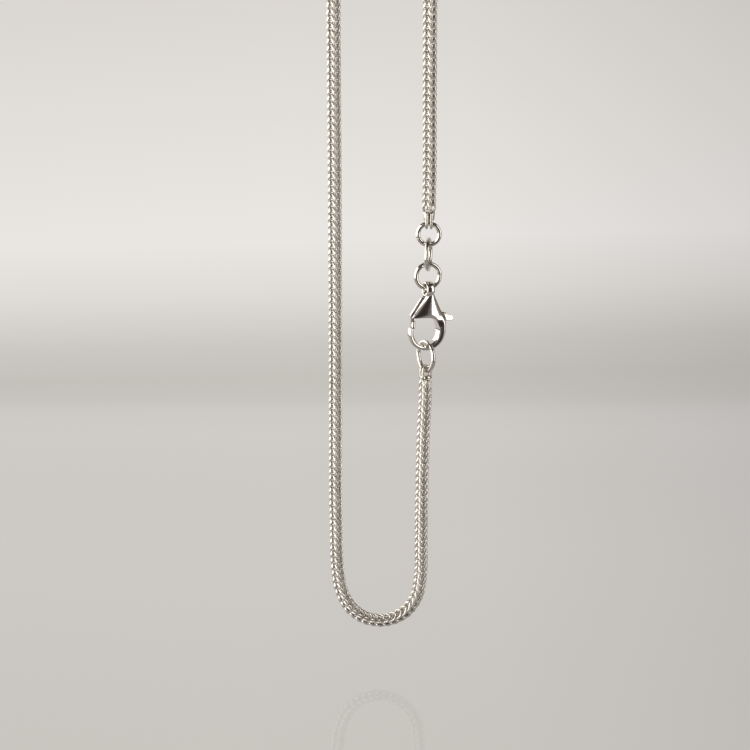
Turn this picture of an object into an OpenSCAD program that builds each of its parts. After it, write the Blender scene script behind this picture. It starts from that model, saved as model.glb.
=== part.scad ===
// Foxtail necklace hanging as one long narrow loop, closed by a sprung lobster clasp.
// X runs across the loop, Y through it and Z up. The front of the loop faces -Y.
// The origin is under the crown of the top bend, where the chain hangs.

/* [Chain] */
// Width of the square chain, face to face
chain_side = 1.5; // [1.2:0.1:1.8]
// Part of the half width that stays flat before a corner is blunted
chain_flat = 0.88; // [0.6:0.02:0.96]
// Wire of the two soldered end eyes
eye_wire = 0.42; // [0.3:0.02:0.5]
// Clear half width inside an end eye
eye_clear = 0.48; // [0.44:0.02:0.6]

/* [Rings] */
// Wire of the four rings
ring_wire = 0.7; // [0.5:0.05:0.8]
// Outer diameter of the ring at the upper chain end
upper_ring_od = 4; // [3.6:0.1:4.6]
// Outer diameter of the two large link rings
link_ring_od = 5.3; // [5:0.1:5.8]
// Outer diameter of the ring that carries the clasp
clasp_ring_od = 4.5; // [4:0.1:5]
// Gap left between wires that hang on each other
hang_gap = 0.1; // [0.05:0.01:0.15]

/* [Clasp] */
// Middle radius of the hook
hook_r = 2.53; // [2.4:0.01:2.7]
// Thickness of the hook, measured in its own plane
hook_wire = 0.92; // [0.8:0.02:1]
// Depth of the body, front to back
body_depth = 2; // [1.8:0.1:2.4]
// Depth of the hook at its tip
tip_depth = 1.1; // [0.9:0.1:1.4]
// Height of the flat underside of the body above the hook's centre
arch_z = 2.42; // [2.3:0.02:2.5]
// Radius of the hole in the end loop
loop_hole_r = 0.7; // [0.66:0.02:0.8]
// Radial thickness of the end loop
loop_wall = 0.6; // [0.5:0.05:0.7]
// Width of the end loop, across the clasp
loop_w = 1.3; // [1.2:0.05:1.5]
// Turn of the clasp about the vertical
clasp_turn = 24; // [0:1:40]

/* [Trigger] */
// Slot between the two walls of the body
slot_w = 0.7; // [0.6:0.05:0.8]
// Thickness of the trigger's plate
plate_t = 0.5; // [0.4:0.02:0.5]
// Thickness of the gate's pad and of the thumb tab where it leaves the body
pad_t = 1; // [0.8:0.1:1.2]
// Radius of the hidden pivot pin
pin_r = 0.26; // [0.22:0.02:0.28]

/* [Hidden] */
$fn = 48;

// Centre line of the chain, from its lower end round the loop to its upper end.
// Columns: across, height, turn of the section's front edge towards the loop's middle
route = [
    [7.2, -175.4, 14], [7.1, -180, 14], [6.9, -186, 13], [6.8, -194, 12], [6.8, -202, 11],
    [6.8, -207.5, 10], [6.3, -211.3, 10], [4.9, -213.9, 10], [2.7, -215.5, 9], [0.2, -216, 9],
    [-2.4, -215.4, 9], [-4.6, -213.6, 8], [-6, -210.6, 8], [-6.6, -206.5, 8], [-6.8, -200, 7],
    [-6.9, -190, 7], [-6.9, -170, 7], [-7, -145, 7], [-7.2, -115, 7], [-7.4, -80, 6],
    [-7.6, -45, 5], [-7.6, -24, 4], [-7.6, -12, 3], [-7.4, -6, 3], [-6.5, -2.9, 2], [-4.8, -0.5, 2],
    [-2.6, 0.6, 1], [0, 1, 0], [2.6, 0.6, -1], [4.8, -0.5, -2], [6.5, -2.9, -2], [7.4, -6, -3],
    [7.6, -12, -3], [7.6, -24, -4], [7.6, -45, -5], [7.4, -80, -6], [7.2, -115, -7],
    [7.3, -132, -7], [7.4, -141, -7], [7.4, -149, -7]
];
route_last = len(route) - 1;
// Longest step between two sections of the chain
chain_step = 7.4;
half_side = chain_side / 2;
flat_half = half_side * chain_flat;
section = [
    [half_side, -flat_half], [half_side, flat_half], [flat_half, half_side], [-flat_half, half_side],
    [-half_side, flat_half], [-half_side, -flat_half], [-flat_half, -half_side], [flat_half, -half_side]
];

// The hook's centre sets the height of everything that hangs on the clasp
hook_x = 7.3;
hook_z = -167.9;
hook_in = hook_r - hook_wire / 2;
hook_out = hook_r + hook_wire / 2;
hook_tip_angle = -198;

// Outline of the body above the hook: shoulder lines from the neck down
neck_z = 6.2;
neck_left = -0.15;
neck_right = 0.95;
left_corner = [-2.85, 2.55];
right_line_end = [2.95, 1.85];
body_from = atan2(left_corner[1], left_corner[0]);
// The opening is a circle a little to the left of the hook's centre, with the flat arch above
// it, and passes from one to the other between two polar angles
opening_at = [-0.3, 0.08];
opening_r = 2.17;
arch_from = 30;
arch_to = 130;
// How much further out the hook runs at its tip, and the angles over which it gets there
tip_out = 0.2;
tip_out_from = -90;
tip_out_to = -170;
// Dome of the body: its fullness, its taper towards the neck, how far it is drawn in along the
// arch and over what width, and the rounding at the neck's top
dome_power = 2.1;
neck_taper = 0.06;
neck_taper_from = 3;
neck_taper_power = 1.5;
arch_drop = 0.12;
arch_roll = 0.7;
top_edge = 0.55;
top_round = 0.15;
// Section of the hook: how far out it is deepest, and how deep its inner wall is beside that,
// at the shoulder and from wall_fade degrees further on
crown_at = 0.6;
wall_at_shoulder = 0.8;
wall_at_tip = 0.55;
wall_fade = 80;
// Polar angles between which the body passes into the hook
body_to = 55;
hook_from = 20;
shoulder_blend = 50;
// Exponents of the shoulder's blend and of the hook's taper in depth
shoulder_ease = 2;
taper_ease = 0.8;
section_step = 3;
section_sides = 20;

// Pivot, gate and thumb tab of the trigger, from the hook's centre
pivot = [-1.3, 3.2];
boss_r = 0.5;
running_gap = 0.04;
spine_top = [-0.74, 5.2];
spine_low = [-2.5, 2.81];
spine_r = 0.4;
web_end = [-1.6, 3.9];
web_r = 0.45;
gate_pad_top = [-2.37, 1.65];
gate_nose = [-2.4, 1];
gate_r = 0.33;
nose_arc_r = norm(pivot - gate_nose) + gate_r;
tip_arc_gap = 0.12;
arm_end = [1.7, 3.05];
arm_r = 0.3;
tab_root = [2.05, 2.8];
tab_mid = [2.95, 2.45];
tab_r = 0.5;
thumb_low = [3.12, 1.5];
thumb_high = [2.62, 2.8];
thumb_tip = [4.05, 1.9];
thumb_tip_r = 0.4;
thumb_slope = 72;
// The tab's thickness falls from pad_t at its root to this share of it at its tip
thumb_thin = 0.5;

// Room for the trigger's plate inside the body, from the hook's centre
slot_floor = 2.7;
slot_low = 1.7;
slot_left = -0.8;
slot_ramp = 0.9;
slot_right = 1.7;
slot_side = 4;
slot_top = 5;
spine_room = [-0.2, 5.8];
slot_outline = [
    [-slot_side, slot_low], [slot_left, slot_low], [slot_left, slot_floor],
    [slot_ramp, slot_floor], [slot_right, slot_low], [slot_side, slot_low], [slot_side, slot_top],
    [spine_room[0], slot_top], spine_room, [-slot_side, spine_room[1]]
];

// Pin's length, and the room left round it and beyond its ends in the body
pin_len = 1.36;
pin_room = 0.01;
pin_end_room = 0.02;
// Box round the hollow in the hook's tip
seat_top = 1.8;
seat_left = -4;
seat_right = -1.5;
// Tool height that passes right through the clasp
through = 2 * body_depth;

// End loop above the neck
loop_mid_r = loop_hole_r + loop_wall / 2;
loop_x = 0.15;
loop_z = 6.75;
// Gap over the clasp's ring, which lies a little across the end loop
loop_gap = 0.18;

// Heights of the rings, each hanging on the piece above it
loop_top_in = hook_z + loop_z + loop_hole_r;
clasp_ring_z = loop_top_in + clasp_ring_od / 2 - ring_wire - loop_gap;
link_middle_z = clasp_ring_z + clasp_ring_od / 2 - 2 * ring_wire - hang_gap + link_ring_od / 2;
upper_ring_z = link_middle_z + link_ring_od / 2 - 2 * ring_wire - hang_gap + upper_ring_od / 2;
link_lower_z = hook_z - hook_in + hang_gap - link_ring_od / 2 + ring_wire;

// Places and turns of the rings about the vertical
upper_ring_x = 7.4;
link_middle_x = 7.4;
clasp_ring_x = 7.35;
link_lower_x = 7.2;
clasp_ring_turn = 16;
link_middle_turn = 82;
link_lower_turn = -61;

// End eyes: a pair of wire arches side by side, soldered to the chain
eye_mid = eye_clear + eye_wire / 2;
eye_spread = 0.36;
eye_gap = 0.14;
lower_eye_z = link_lower_z - link_ring_od / 2 + ring_wire + eye_gap - eye_clear;
upper_eye_z = upper_ring_z + upper_ring_od / 2 - ring_wire - eye_gap + eye_clear;
lower_solder_h = 0.5;
upper_solder_h = 1.4;
solder_r = 0.9;
solder_top_r = 0.84;
solder_gap = 0.04;

function spline(a, b, c, d, t) =
    0.5 * (2 * b + (c - a) * t + (2 * a - 5 * b + 4 * c - d) * t * t
        + (3 * b - a - 3 * c + d) * t * t * t);

// Route with a mirrored point added at each end, so that the curve reaches both ends
function padded(i) =
    i < 0 ? 2 * route[0] - route[1]
    : i > route_last ? 2 * route[route_last] - route[route_last - 1]
    : route[i];

function on_route(i, t) = spline(padded(i - 1), padded(i), padded(i + 1), padded(i + 2), t);

function flat_dist(a, b) = norm([b[0] - a[0], b[1] - a[1]]);

function steps_of(i) = ceil(flat_dist(route[i], route[i + 1]) / chain_step);

chain_rows = concat(
    [for (i = [0 : route_last - 1]) for (k = [0 : steps_of(i) - 1]) on_route(i, k / steps_of(i))],
    [route[route_last]]
);

// Direction of the route at a row, from its neighbours
function heading(rows, i) =
    let (a = rows[max(i - 1, 0)], b = rows[min(i + 1, len(rows) - 1)])
    [b[0] - a[0], b[1] - a[1]] / flat_dist(a, b);

// One section of the chain: a blunted square stood on its corner and turned
function chain_ring(rows, i) =
    let (h = heading(rows, i), turn = 45 - rows[i][2])
    [for (p = section)
        let (u = p[0] * cos(turn) - p[1] * sin(turn), v = p[0] * sin(turn) + p[1] * cos(turn))
        [rows[i][0] - u * h[1], v, rows[i][1] + u * h[0]]];

function clamp(t) = max(0, min(1, t));

// Smooth step from 0 to 1
function ease(t) = let (c = clamp(t)) c * c * (3 - 2 * c);

// Superellipse that falls from 1 at 0 to nothing at 1
function rounded(t) = pow(1 - pow(clamp(t), dome_power), 1 / dome_power);

// Distance from the hook's centre to the line through two points, along an angle
function to_line(a, b, angle) =
    let (n = [a[1] - b[1], b[0] - a[0]])
    (n * a) / (n * [cos(angle), sin(angle)]);

function neck_right_angle() = atan2(neck_z, neck_right);
function neck_left_angle() = atan2(neck_z, neck_left);
function right_angle_end() = atan2(right_line_end[1], right_line_end[0]);

function outer_r(angle) =
    angle > neck_left_angle() ? to_line(left_corner, [neck_left, neck_z], angle)
    : angle > neck_right_angle() ? neck_z / sin(angle)
    : angle > right_angle_end() ? to_line([neck_right, neck_z], right_line_end, angle)
    : let (
        back = norm(right_line_end) - hook_out,
        left = max(0, 1 - (right_angle_end() - angle) / shoulder_blend)
    )
        hook_out + back * pow(left, shoulder_ease)
            + tip_out * ease((tip_out_from - angle) / (tip_out_from - tip_out_to));

function inner_r(angle) =
    let (
        way = [cos(angle), sin(angle)],
        off = opening_at[0] * way[1] - opening_at[1] * way[0],
        ring = opening_at * way + sqrt(opening_r * opening_r - off * off),
        share = ease((angle - arch_from) / (arch_to - arch_from))
    )
    share == 0 ? ring : ring + (arch_z / sin(angle) - ring) * share;

// Half depth round the clasp: full on the body, easing down the hook to its tip
function half_depth(angle) =
    let (along = max(0, hook_from - angle) / (hook_from - hook_tip_angle))
    body_depth / 2 - (body_depth - tip_depth) / 2 * pow(along, taper_ease);

// Half depth of the body at a place: rounded between its side lines at each height
function dome(u, w, from_arch) =
    let (
        left = left_corner[0]
            + (neck_left - left_corner[0]) * (w - left_corner[1]) / (neck_z - left_corner[1]),
        right = neck_right
            + (right_line_end[0] - neck_right) * (neck_z - w) / (neck_z - right_line_end[1]),
        up = clamp((w - neck_taper_from) / (neck_z - neck_taper_from)),
        taper = 1 - neck_taper * pow(up, neck_taper_power),
        arch = 1 - arch_drop * pow(1 - clamp(from_arch / arch_roll), 2),
        top = top_edge
            + (1 - top_edge) * sqrt(1 - pow(1 - clamp((neck_z - w) / top_round), 2))
    )
    body_depth / 2 * taper * arch * top * rounded(abs(2 * u - left - right) / (right - left));

// Half depth of the hook: s runs from its inner wall over the crown to its outer edge
function hook_section(s, angle) =
    let (
        fade = ease((hook_from - angle) / wall_fade),
        wall = wall_at_shoulder + (wall_at_tip - wall_at_shoulder) * fade
    )
    half_depth(angle)
        * (s < crown_at
            ? 1 - (1 - wall) * pow(1 - s / crown_at, 2)
            : rounded((s - crown_at) / (1 - crown_at)));

// Closed section of the clasp at one polar angle
function clasp_ring_points(angle, sides) =
    let (
        r0 = inner_r(angle),
        r1 = outer_r(angle),
        share = ease((angle - hook_from) / (body_to - hook_from))
    )
    [for (k = [0 : sides - 1])
        let (
            a = 360 * k / sides,
            s = (1 - cos(a)) / 2,
            r = r0 + (r1 - r0) * s,
            u = r * cos(angle),
            w = r * sin(angle),
            half = share * dome(u, w, r - r0) + (1 - share) * hook_section(s, angle)
        )
        [u, half * (a < 180 ? -1 : 1) * (k == 0 || a == 180 ? 0 : 1), w]];

// Skin over a row of closed sections of equal count, capped at both ends
module skin(sections) {
    n = len(sections[0]);
    last = len(sections) - 1;
    points = [for (s = sections) for (p = s) p];
    walls = [
        for (i = [0 : last - 1]) for (k = [0 : n - 1])
        let (a = i * n + k, b = i * n + (k + 1) % n)
        each [[a, b, b + n], [a, b + n, a + n]]
    ];
    ends = [[for (k = [n - 1 : -1 : 0]) k], [for (k = [0 : n - 1]) last * n + k]];
    polyhedron(points = points, faces = concat(walls, ends), convexity = 6);
}

// Round link standing in the XZ plane, then turned about the vertical
module link_ring(od, x, z, turn) {
    color("silver")
        translate([x, 0, z])
            rotate([90, 0, turn])
                rotate_extrude()
                    translate([(od - ring_wire) / 2, 0])
                        circle(d = ring_wire, $fn = 24);
}

// Puts a shape drawn round the hook's centre, with its front at -Y, in place
module at_clasp() {
    translate([hook_x, 0, hook_z])
        rotate([0, 0, clasp_turn])
            children();
}

// Round-ended bar between two points of the clasp's plane
module bar(a, b, r, thick) {
    rotate([90, 0, 0])
        translate([0, 0, -thick / 2])
            linear_extrude(thick)
                union() {
                    translate(a) circle(r);
                    translate(b) circle(r);
                    translate(a)
                        rotate(atan2(b[1] - a[1], b[0] - a[0]))
                            translate([0, -r])
                                square([norm(b - a), 2 * r]);
                }
}

// Round disc or drill across the clasp's plane
module disc(p, r, thick) {
    translate([p[0], 0, p[1]])
        rotate([90, 0, 0])
            cylinder(r = r, h = thick, center = true);
}

// Two wire arches side by side along X with their open legs down to the solder,
// which narrows from the chain's end towards the arches
module end_eyes(leg, solder) {
    for (side = [-1, 1])
        translate([side * eye_spread, 0, 0]) {
            rotate([90, 0, 90])
                rotate_extrude(angle = 180)
                    translate([eye_mid, 0])
                        circle(d = eye_wire, $fn = 24);
            for (leg_y = [-eye_mid, eye_mid])
                translate([0, leg_y, -leg])
                    cylinder(d = eye_wire, h = leg, $fn = 24);
        }
    translate([0, 0, -leg])
        cylinder(r1 = solder_r, r2 = solder_top_r, h = solder);
}

module foxtail_chain() {
    color("gainsboro")
        skin([for (i = [0 : len(chain_rows) - 1]) chain_ring(chain_rows, i)]);
}

module chain_end_lower() {
    color("silver")
        translate([link_lower_x, 0, lower_eye_z])
            rotate([0, 0, link_lower_turn])
                end_eyes(lower_eye_z - route[0][1] - solder_gap, lower_solder_h);
}

module chain_end_upper() {
    color("silver")
        translate([upper_ring_x, 0, upper_eye_z])
            rotate([180, 0, 0])
                end_eyes(route[route_last][1] - upper_eye_z - solder_gap, upper_solder_h);
}

module jump_ring_upper() link_ring(upper_ring_od, upper_ring_x, upper_ring_z, 0);

module link_ring_middle() link_ring(link_ring_od, link_middle_x, link_middle_z, link_middle_turn);

module clasp_ring() link_ring(clasp_ring_od, clasp_ring_x, clasp_ring_z, clasp_ring_turn);

module link_ring_lower() link_ring(link_ring_od, link_lower_x, link_lower_z, link_lower_turn);

// Band with full round edges, bent round the loop's axis
module end_loop() {
    edge_at = (loop_w - loop_wall) / 2;
    translate([loop_x, 0, loop_z])
        rotate([0, 90, 0])
            rotate_extrude()
                translate([loop_mid_r, 0])
                    union() {
                        square([loop_wall, 2 * edge_at], center = true);
                        translate([0, edge_at]) circle(d = loop_wall, $fn = 24);
                        translate([0, -edge_at]) circle(d = loop_wall, $fn = 24);
                    }
}

// Room for the plate of the trigger in every position of its swing
module trigger_slot() {
    rotate([90, 0, 0])
        translate([0, 0, -slot_w / 2])
            linear_extrude(slot_w)
                polygon(slot_outline);
}

// Hollow end of the hook's tip, struck from the pivot so that the gate swings clear
module tip_seat() {
    intersection() {
        disc(pivot, nose_arc_r + tip_arc_gap, through);
        translate([seat_left, -through / 2, 0])
            cube([seat_right - seat_left, through, seat_top]);
    }
}

module clasp_body() {
    angles = [for (a = [body_from : -section_step : hook_tip_angle]) a];
    color("lightgray")
        at_clasp()
            difference() {
                union() {
                    skin([for (a = angles) clasp_ring_points(a, section_sides)]);
                    end_loop();
                }
                trigger_slot();
                disc(pivot, pin_r + pin_room, pin_len + 2 * pin_end_room);
                tip_seat();
            }
}

module clasp_pin() {
    color("gray")
        at_clasp()
            disc(pivot, pin_r, pin_len);
}

// Thumb tab outside the body: flat below, sloping above, with a round tip, thinner towards it
module thumb_tab() {
    thumb_end = thumb_tip[0] + thumb_tip_r;
    root = pad_t / 2;
    tip = root * thumb_thin;
    intersection() {
        rotate([90, 0, 0])
            translate([0, 0, -pad_t])
                linear_extrude(2 * pad_t)
                    union() {
                        translate(thumb_tip) circle(thumb_tip_r);
                        polygon([
                            thumb_low, [thumb_tip[0], thumb_tip[1] - thumb_tip_r],
                            thumb_tip + thumb_tip_r * [cos(thumb_slope), sin(thumb_slope)],
                            thumb_high
                        ]);
                    }
        linear_extrude(slot_side)
            polygon([
                [thumb_high[0], -root], [thumb_end, -tip], [thumb_end, tip], [thumb_high[0], root]
            ]);
    }
}

module clasp_trigger() {
    color("silver")
        at_clasp()
            difference() {
                union() {
                    disc(pivot, boss_r, plate_t);
                    bar(pivot, web_end, web_r, plate_t);
                    bar(spine_top, spine_low, spine_r, plate_t);
                    bar(spine_low, gate_nose, gate_r, plate_t);
                    bar(gate_pad_top, gate_nose, gate_r, pad_t);
                    bar(pivot, arm_end, arm_r, plate_t);
                    bar(tab_root, tab_mid, tab_r, plate_t);
                    thumb_tab();
                }
                disc(pivot, pin_r + running_gap, through);
            }
}

foxtail_chain();
chain_end_upper();
chain_end_lower();
jump_ring_upper();
link_ring_middle();
clasp_ring();
clasp_body();
clasp_trigger();
clasp_pin();
link_ring_lower();
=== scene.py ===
"""Foxtail chain necklace: about 400 interlocking wire links, four rings and a sprung lobster clasp.

Lengths are held in millimetres and become metres when a mesh is made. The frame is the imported
model's: X across the loop, -Y towards the front, Z up, origin under the crown of the top bend.
"""

import logging
import math
from dataclasses import dataclass, field
from enum import Enum

import bpy
import numpy as np
from mathutils import Euler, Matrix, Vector
from mathutils.geometry import tessellate_polygon

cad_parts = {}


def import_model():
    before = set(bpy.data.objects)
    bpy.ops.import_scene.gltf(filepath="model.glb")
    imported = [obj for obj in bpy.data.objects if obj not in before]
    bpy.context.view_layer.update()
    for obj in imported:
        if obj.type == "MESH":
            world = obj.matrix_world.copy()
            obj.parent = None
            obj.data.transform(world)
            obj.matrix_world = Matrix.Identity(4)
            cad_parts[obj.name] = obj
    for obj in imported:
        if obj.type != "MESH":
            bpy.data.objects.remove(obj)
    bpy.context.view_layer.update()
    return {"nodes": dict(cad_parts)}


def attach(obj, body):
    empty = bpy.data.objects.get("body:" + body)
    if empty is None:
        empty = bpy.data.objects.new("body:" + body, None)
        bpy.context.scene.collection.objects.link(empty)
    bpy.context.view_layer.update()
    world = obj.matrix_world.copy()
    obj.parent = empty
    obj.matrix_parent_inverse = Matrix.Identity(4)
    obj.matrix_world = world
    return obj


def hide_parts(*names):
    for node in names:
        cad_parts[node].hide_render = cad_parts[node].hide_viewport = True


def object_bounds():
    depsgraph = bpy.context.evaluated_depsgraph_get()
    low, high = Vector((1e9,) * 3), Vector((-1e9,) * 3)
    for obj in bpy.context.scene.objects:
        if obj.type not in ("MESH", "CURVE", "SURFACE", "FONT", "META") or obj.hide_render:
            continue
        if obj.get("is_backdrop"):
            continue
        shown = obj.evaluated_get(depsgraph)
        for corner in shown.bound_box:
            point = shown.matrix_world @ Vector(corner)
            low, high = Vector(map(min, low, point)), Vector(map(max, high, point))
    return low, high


MM = 0.001
SEED = 7
FULL_TURN = 2 * math.pi
# Edges that turn by more than this stay sharp on pieces that were cut
SHARP_DEG = 35
LOG = logging.getLogger("foxtail_chain")

Pair = tuple[float, float]
Triple = tuple[float, float, float]
Stops = tuple[tuple[float, str], ...]

# Centre line of the chain, from its lower end round the loop to its upper end.
# Columns: across, height (mm), turn of the section's front edge towards the loop's middle (degrees)
ROUTE = np.array([
    (7.2, -175.4, 14), (7.1, -180, 14), (6.9, -186, 13), (6.8, -194, 12), (6.8, -202, 11),
    (6.8, -207.5, 10), (6.3, -211.3, 10), (4.9, -213.9, 10), (2.7, -215.5, 9), (0.2, -216, 9),
    (-2.4, -215.4, 9), (-4.6, -213.6, 8), (-6, -210.6, 8), (-6.6, -206.5, 8), (-6.8, -200, 7),
    (-6.9, -190, 7), (-6.9, -170, 7), (-7, -145, 7), (-7.2, -115, 7), (-7.4, -80, 6),
    (-7.6, -45, 5), (-7.6, -24, 4), (-7.6, -12, 3), (-7.4, -6, 3), (-6.5, -2.9, 2), (-4.8, -0.5, 2),
    (-2.6, 0.6, 1), (0, 1, 0), (2.6, 0.6, -1), (4.8, -0.5, -2), (6.5, -2.9, -2), (7.4, -6, -3),
    (7.6, -12, -3), (7.6, -24, -4), (7.6, -45, -5), (7.4, -80, -6), (7.2, -115, -7),
    (7.3, -132, -7), (7.4, -141, -7), (7.4, -149, -7),
]) * (MM, MM, 1.0)


class Body(Enum):
    """The two moving bodies of the necklace."""

    NECKLACE = "necklace"
    TRIGGER = "trigger"


class Slot(Enum):
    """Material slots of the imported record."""

    CHAIN = "chain_silver"
    RING = "ring_silver"
    CLASP = "clasp_silver"
    SOLDER = "solder_silver"


def linear(hex_colour: str) -> tuple[float, float, float, float]:
    """Turns an sRGB hex colour into a linear one.

    Args:
        hex_colour: Six hex digits after a hash sign.

    Returns:
        Linear red, green, blue and an alpha of 1.
    """
    parts = (int(hex_colour[i : i + 2], 16) / 255 for i in (1, 3, 5))
    red, green, blue = (c / 12.92 if c <= 0.04045 else ((c + 0.055) / 1.055) ** 2.4 for c in parts)
    return red, green, blue, 1.0


def empty_tree(owner: bpy.types.Material | bpy.types.World) -> bpy.types.NodeTree:
    """Switches the nodes of a material or world on and empties its tree."""
    owner.use_nodes = True
    owner.node_tree.nodes.clear()
    return owner.node_tree


def add_node(
    tree: bpy.types.NodeTree, kind: str, links: dict | None = None, stops: Stops = (), **settings: object,
) -> bpy.types.Node:
    """Adds a node, sets its properties, sockets and colour stops, and links its inputs.

    Args:
        tree: Node tree that gets the node.
        kind: Blender's name for the kind of node, after its ShaderNode.
        links: Input name or index to the output that feeds it, or to the node whose first output does.
        stops: Place and hex colour of each stop of its colour ramp, in rising order.
        **settings: Properties of the node; a name that starts with in_ is an input's value.

    Returns:
        The new node.
    """
    node = tree.nodes.new("ShaderNode" + kind)
    for name, value in settings.items():
        if name.startswith("in_"):
            key = name.removeprefix("in_")
            node.inputs[int(key) if key.isdigit() else key.replace("_", " ")].default_value = value
        else:
            setattr(node, name, value)
    for name, source in (links or {}).items():
        socket = source.outputs[0] if isinstance(source, bpy.types.Node) else source
        tree.links.new(socket, node.inputs[name])
    ramp = node.color_ramp.elements if stops else ()
    while len(ramp) < len(stops):
        ramp.new(1.0)
    for element, (place, colour) in zip(ramp, stops):
        element.position, element.color = place, linear(colour)
    return node


@dataclass(frozen=True)
class MetalFinish:
    """A metal surface: two tones that drift into each other, fine marks, and a colour that paints shade into
    the chain's crevices and darkens the rings' seams.
    """

    name: str
    light: str
    dark: str
    rough_low: float
    rough_high: float
    drift_mm: float
    mark_mm: float
    mark_depth_mm: float
    # Colour of the painted shade in the chain's crevices, and of the rings' dark seams
    crevice: str = "#8C877F"
    # The middle part of the noise's values, over which the tones and the roughness change
    drift_span: Pair = (0.35, 0.6)
    mark_span: Pair = (0.3, 0.7)

    def material(self) -> bpy.types.Material:
        """Builds the node material, or finds it if it is there already.

        Returns:
            The material, on Object coordinates and the attribute of painted shade and dark seams.
        """
        found = bpy.data.materials.get(self.name)
        if found:
            return found
        material = bpy.data.materials.new(self.name)
        tree = empty_tree(material)
        place = add_node(tree, "TexCoord").outputs["Object"]
        drift, marks = (
            add_node(tree, "TexNoise", {"Vector": place}, in_Scale=1 / (size * MM), in_Detail=detail)
            for size, detail in ((self.drift_mm, 3.0), (self.mark_mm, 4.0))
        )
        tones = tuple(zip(self.drift_span, (self.dark, self.light)))
        tone = add_node(tree, "ValToRGB", {"Fac": drift}, tones)
        # Painted shade in the chain's crevices, and dark seams on the rings: this attribute mixes the base
        # colour towards the shade colour
        inner = add_node(tree, "Attribute", attribute_name="crevice").outputs["Fac"]
        # Inputs 6 and 7 of a Mix node are its two colours, and output 2 is the mixed one
        colour = add_node(
            tree, "Mix", {"Factor": inner, 6: tone}, data_type="RGBA", in_7=linear(self.crevice),
        ).outputs[2]
        low, high = self.mark_span
        rough = add_node(
            tree, "MapRange", {"Value": marks}, in_From_Min=low, in_From_Max=high,
            in_To_Min=self.rough_low, in_To_Max=self.rough_high,
        )
        bump = add_node(
            tree, "Bump", {"Height": marks}, in_Strength=1.0, in_Distance=self.mark_depth_mm * MM,
        )
        surface = {"Base Color": colour, "Roughness": rough, "Normal": bump}
        shader = add_node(tree, "BsdfPrincipled", surface, in_Metallic=1.0)
        add_node(tree, "OutputMaterial", {"Surface": shader})
        return material


# Rhodium-plated silver wire, drawn: white metal with a faint grey, satin along the draw marks
# Its pale shade colour is painted into the crevices between the links
CHAIN_WIRE = MetalFinish(
    "rhodium_plated_drawn_silver_wire", light="#F4F1EC", dark="#E8E4DE", rough_low=0.3, rough_high=0.4,
    drift_mm=1.6, mark_mm=0.12, mark_depth_mm=0.002, crevice="#D0CBC4",
)
# Rhodium-plated silver, tumbled: mirror-bright with soft hairline marks from handling
BRIGHT_RING = MetalFinish(
    "rhodium_plated_tumbled_silver", light="#E4E1DC", dark="#D5D1CB", rough_low=0.1, rough_high=0.18,
    drift_mm=1.2, mark_mm=0.15, mark_depth_mm=0.003,
)
# Rhodium-plated cast silver, hand-polished: the brightest surface, with long soft reflections
BRIGHT_CAST = MetalFinish(
    "rhodium_plated_polished_cast_silver", light="#E8E5E0", dark="#DAD6D0", rough_low=0.05, rough_high=0.11,
    drift_mm=1.8, mark_mm=0.2, mark_depth_mm=0.003,
)
# Silver solder, pickled and brushed: greyer and duller than the wire, with a lumpy skin
SOLDER = MetalFinish(
    "brushed_silver_solder", light="#E0DCD5", dark="#C6C1B9", rough_low=0.2, rough_high=0.34,
    drift_mm=0.5, mark_mm=0.18, mark_depth_mm=0.012,
)
# Drawn steel wire: dark neutral grey, satin
PIN_STEEL = MetalFinish(
    "drawn_steel_wire", light="#A5A5A6", dark="#8E8E90", rough_low=0.3, rough_high=0.42,
    drift_mm=0.8, mark_mm=0.1, mark_depth_mm=0.004,
)


def arc(centre: Pair, radius: float, angles: np.ndarray) -> np.ndarray:
    """Points of a circle round a centre, at angles in radians."""
    return np.array(centre) + radius * np.stack([np.cos(angles), np.sin(angles)], axis=-1)


def bearing(point: Pair) -> float:
    """Angle of a point round the origin, in degrees."""
    return math.degrees(math.atan2(point[1], point[0]))


def signed_area(outline: np.ndarray) -> float:
    """Area in an outline by the shoelace sum, negative if its points go round to the right."""
    ahead = np.roll(outline, -1, 0)
    return float(np.sum(outline[:, 0] * ahead[:, 1] - outline[:, 1] * ahead[:, 0])) / 2


def grid_quads(rows: int, cols: int, loop_rows: bool, loop_cols: bool = True) -> np.ndarray:
    """Faces of a grid of points.

    Args:
        rows: Number of rows of points.
        cols: Points in each row.
        loop_rows: True if the last row joins the first.
        loop_cols: True if each row closes on itself.

    Returns:
        Four point numbers a face.
    """
    steps = (rows if loop_rows else rows - 1), (cols if loop_cols else cols - 1)
    i, k = np.meshgrid(*(np.arange(n) for n in steps), indexing="ij")
    j, m = (i + 1) % rows, (k + 1) % cols
    return np.stack([i * cols + k, i * cols + m, j * cols + m, j * cols + k], axis=-1).reshape(-1, 4)


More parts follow.
